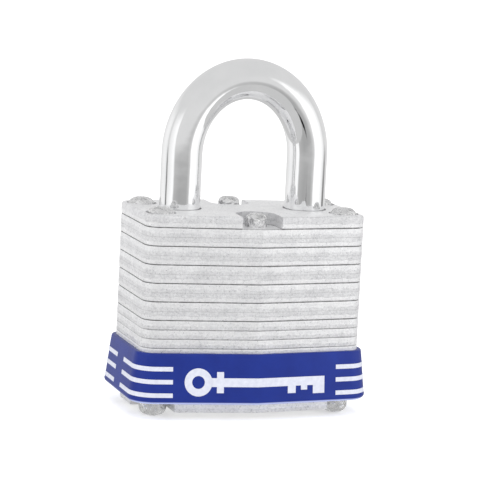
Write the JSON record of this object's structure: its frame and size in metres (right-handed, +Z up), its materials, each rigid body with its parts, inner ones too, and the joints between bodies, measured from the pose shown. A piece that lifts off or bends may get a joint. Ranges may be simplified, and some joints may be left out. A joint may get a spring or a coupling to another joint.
{
  "type": "padlock",
  "caption": "Laminated steel padlock with a hardened round shackle, riveted plate body, vinyl bumper band and a pin-tumbler cylinder.",
  "frame": {"origin": "under the middle of the body, on the plane of the lower rivet heads that the lock stands on", "axes": "+Z up the shackle, +X along the body's width towards the toe leg, the front face looks along -Y"},
  "size_m": [0.0432, 0.0278, 0.0616],
  "materials": {
    "laminated_steel": "zinc plated, satin, rolled edges",
    "shackle_chrome": "polished chrome plate",
    "bumper_vinyl": "semi-gloss vinyl",
    "bumper_print": "pale silver print",
    "rivet_steel": "peened, satin",
    "pivot_steel": "turned, satin",
    "brass": "machined",
    "spring_steel": "drawn wire",
    "lever_steel": "stamped, oiled"
  },
  "bodies": {
    "case": {"bottom_plate": "laminated_steel", "plate_02": "laminated_steel", "plate_03": "laminated_steel", "plate_04": "laminated_steel", "plate_05": "laminated_steel", "plate_06": "laminated_steel", "plate_07": "laminated_steel", "plate_08": "laminated_steel", "plate_09": "laminated_steel", "plate_10": "laminated_steel", "plate_11": "laminated_steel", "plate_12": "laminated_steel", "plate_13": "laminated_steel", "plate_14": "laminated_steel", "plate_15": "laminated_steel", "plate_16": "laminated_steel", "plate_17": "laminated_steel", "plate_18": "laminated_steel", "plate_19": "laminated_steel", "plate_20": "laminated_steel", "top_plate": "laminated_steel", "front_left_rivet": "rivet_steel", "front_right_rivet": "rivet_steel", "rear_left_rivet": "rivet_steel", "rear_right_rivet": "rivet_steel", "front_pivot_pin": "pivot_steel", "rear_pivot_pin": "pivot_steel", "bumper": "bumper_vinyl", "shackle_spring": "spring_steel", "lever_spring": "spring_steel", "cylinder_shell": "brass", "chamber_cover": "brass", "driver_pin_1": "brass", "driver_pin_2": "brass", "driver_pin_3": "brass", "driver_pin_4": "brass", "chamber_spring_1": "spring_steel", "chamber_spring_2": "spring_steel", "chamber_spring_3": "spring_steel", "chamber_spring_4": "spring_steel"},
    "shackle": {"shackle": "shackle_chrome"},
    "plug": {"plug": "brass", "drive_tail": "lever_steel", "plug_clip": "lever_steel", "key_pin_1": "brass", "key_pin_2": "brass", "key_pin_3": "brass", "key_pin_4": "brass"},
    "left_lever": {"left_lever": "lever_steel"},
    "right_lever": {"right_lever": "lever_steel"}
  },
  "joints": [
    {"name": "shackle_rise", "type": "slide", "parent": "case", "child": "shackle", "axis": [0, 0, 1], "range_m": [0, 0.0138], "deforming": ["shackle_spring"]},
    {"name": "plug_turn", "type": "hinge", "parent": "case", "child": "plug", "pos_m": [0, 0, 0.01], "axis": [0, 0, 1], "range_deg": [-90, 0]},
    {"name": "left_lever_swing", "type": "hinge", "parent": "case", "child": "left_lever", "pos_m": [0, -0.0079, 0.026], "axis": [0, 0, 1], "range_deg": [0, 16], "deforming": ["lever_spring"]},
    {"name": "right_lever_swing", "type": "hinge", "parent": "case", "child": "right_lever", "pos_m": [0, 0.0079, 0.026], "axis": [0, 0, 1], "range_deg": [0, 16]}
  ],
  "couplings": [
    {"joint": "left_lever_swing", "follows": "plug_turn", "ratio": -0.17672},
    {"joint": "right_lever_swing", "follows": "plug_turn", "ratio": -0.17672}
  ]
}
